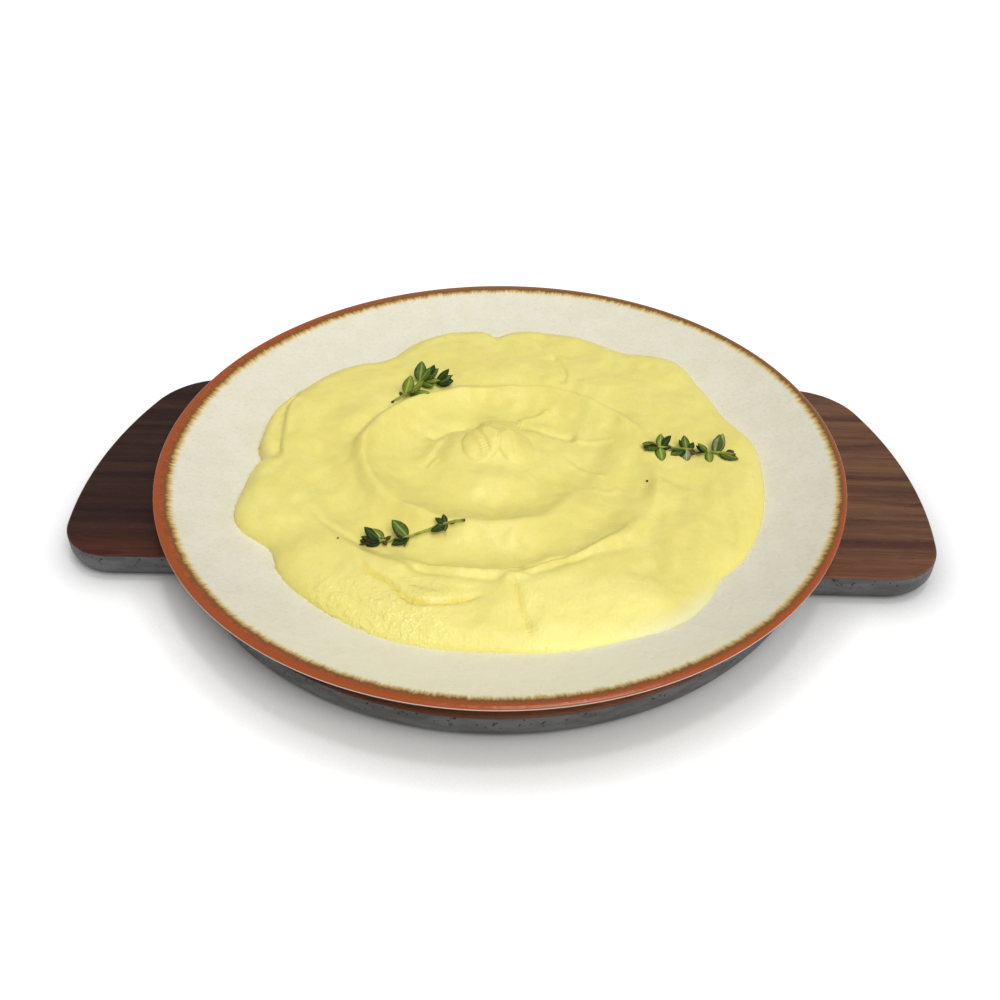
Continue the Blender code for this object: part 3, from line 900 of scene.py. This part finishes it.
def make_sprigs():
    stem_look = stem_finish()
    looks = {tone: leaf_finish("thyme " + tone, *pair) for tone, pair in TONES.items()}
    for name, (stem, leaves) in SPRIGS.items():
        line = smooth_curve(stem, 1.0)
        centres = [Vector((x, y, resting_height(x, y, 1.5) + 1.0)) for x, y in line]
        points, faces = stem_mesh(centres)
        made = mesh_piece(name + "_stem", points, faces, stem_look, "thyme", name)
        count = len(line)
        ring = np.repeat(np.arange(count)[::-1], 8)
        bare_end = ring if name != "thyme_back" else count - 1 - ring
        tip = np.clip(1 - (count - 1 - bare_end) / 3.0, 0, 1)
        made.data.attributes.new("tip", "FLOAT", "POINT").data.foreach_set("value", tip.astype(np.float32))
        for tone in TONES:
            points, faces, across = [], [], []
            for share, direction, length, tilt, roll, leaf_tone in leaves:
                if leaf_tone != tone:
                    continue
                base = centres[round(share * (count - 1))]
                leaf, skin, places = leaf_mesh(base, direction, length, tilt, roll)
                faces += [tuple(len(points) + i for i in face) for face in skin]
                points += leaf
                across += places
            if not points:
                continue
            piece = mesh_piece(f"{name}_{tone}", points, faces, looks[tone], "thyme", smooth_under=60)
            values = np.array(across, np.float32)
            piece.data.attributes.new("across", "FLOAT", "POINT").data.foreach_set("value", values)


def make_specks():
    """Crumbs of herb that fell on the potato."""
    turn = np.radians(np.arange(0, 360, 45))
    for name, tone, cx, cy, size in SPECKS:
        floor = resting_height(cx, cy, size)
        rings = []
        for share, height in ((0.6, -0.2), (1.0, 0.15), (0.6, 0.4)):
            ring = [(cx + share * size * math.cos(a), cy + 0.8 * share * size * math.sin(a)) for a in turn]
            rings.append([(x, y, floor + height) for x, y in ring])
        points, faces = stack_rings(rings, None, None)
        look = Finish(name.replace("_", " "), Roughness=0.6)
        look.set("Base Color", look.mix(look.noise(0.4), tone, tuple(0.6 * c for c in tone[:3]) + (1,)))
        mesh_piece(name, points, faces, look.material, "thyme")


def make_floor():
    mesh = bpy.data.meshes.new("floor")
    corners = [(FLOOR_REACH * x, FLOOR_REACH * y, 0) for x, y in ((-1, -1), (1, -1), (1, 1), (-1, 1))]
    mesh.from_pydata(corners, [], [(0, 1, 2, 3)])
    floor = bpy.data.objects.new("floor", mesh)
    bpy.context.scene.collection.objects.link(floor)
    f = Finish("white floor", Roughness=1.0, Specular_IOR_Level=0.0)
    # Painted shadow: an ambient occlusion node darkens the floor's colour and its glow about the board's
    # foot.
    near = f.node("ShaderNodeAmbientOcclusion", Distance=SHADOW_REACH)
    near.samples = 6
    open_share = f.maths("POWER", near.outputs["AO"], SHADOW_DEPTH)
    f.set("Base Color", f.mix(open_share, (0.4, 0.4, 0.4, 1), (0.97, 0.97, 0.97, 1)))
    seen = f.node("ShaderNodeLightPath").outputs["Is Camera Ray"]
    f.set("Emission Color", (1, 1, 1, 1))
    f.set("Emission Strength", f.maths("MULTIPLY", f.maths("MULTIPLY", seen, open_share), 0.2))
    mesh.materials.append(f.material)


def make_light():
    world = bpy.data.worlds.new("studio")
    bpy.context.scene.world = world
    world.use_nodes = True
    tree = world.node_tree
    background = tree.nodes["Background"]
    path = tree.nodes.new("ShaderNodeLightPath")
    share = tree.nodes.new("ShaderNodeMapRange")
    share.inputs["To Min"].default_value = SKY
    share.inputs["To Max"].default_value = 1.0
    tree.links.new(path.outputs["Is Camera Ray"], share.inputs["Value"])
    tree.links.new(share.outputs["Result"], background.inputs["Strength"])
    background.inputs["Color"].default_value = (1, 1, 1, 1)
    for number, (strength, size, source) in enumerate(LAMPS):
        data = bpy.data.lights.new(f"lamp_{number}", "SUN")
        data.energy = strength
        data.angle = math.radians(size)
        lamp = bpy.data.objects.new(f"lamp_{number}", data)
        lamp.rotation_euler = Vector(source).to_track_quat("Z", "Y").to_euler()
        bpy.context.scene.collection.objects.link(lamp)


def make_camera():
    azimuth, elevation = math.radians(CAMERA_AZIMUTH), math.radians(CAMERA_ELEVATION)
    away = Vector((math.sin(azimuth), -math.cos(azimuth), 0)) * math.cos(elevation)
    away.z = math.sin(elevation)
    data = bpy.data.cameras.new("camera")
    data.sensor_width = SENSOR
    data.lens = LENS
    data.shift_y = FRAME_SHIFT
    data.clip_start = 0.01
    camera = bpy.data.objects.new("camera", data)
    camera.location = (Vector((0, 0, AIM_HEIGHT)) + away * CAMERA_DISTANCE) * MM
    camera.rotation_euler = away.to_track_quat("Z", "Y").to_euler()
    bpy.context.scene.collection.objects.link(camera)
    bpy.context.scene.camera = camera


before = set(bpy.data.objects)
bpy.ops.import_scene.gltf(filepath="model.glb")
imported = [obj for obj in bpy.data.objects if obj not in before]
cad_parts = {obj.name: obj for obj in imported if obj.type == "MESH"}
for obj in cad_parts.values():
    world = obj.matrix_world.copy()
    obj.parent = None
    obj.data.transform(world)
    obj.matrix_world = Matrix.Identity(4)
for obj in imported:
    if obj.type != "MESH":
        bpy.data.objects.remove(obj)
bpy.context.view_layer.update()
bpy.context.scene.view_settings.view_transform = "Standard"
make_camera()
make_light()
make_floor()
make_board()
make_plate()
make_mash()
make_sprigs()
make_specks()
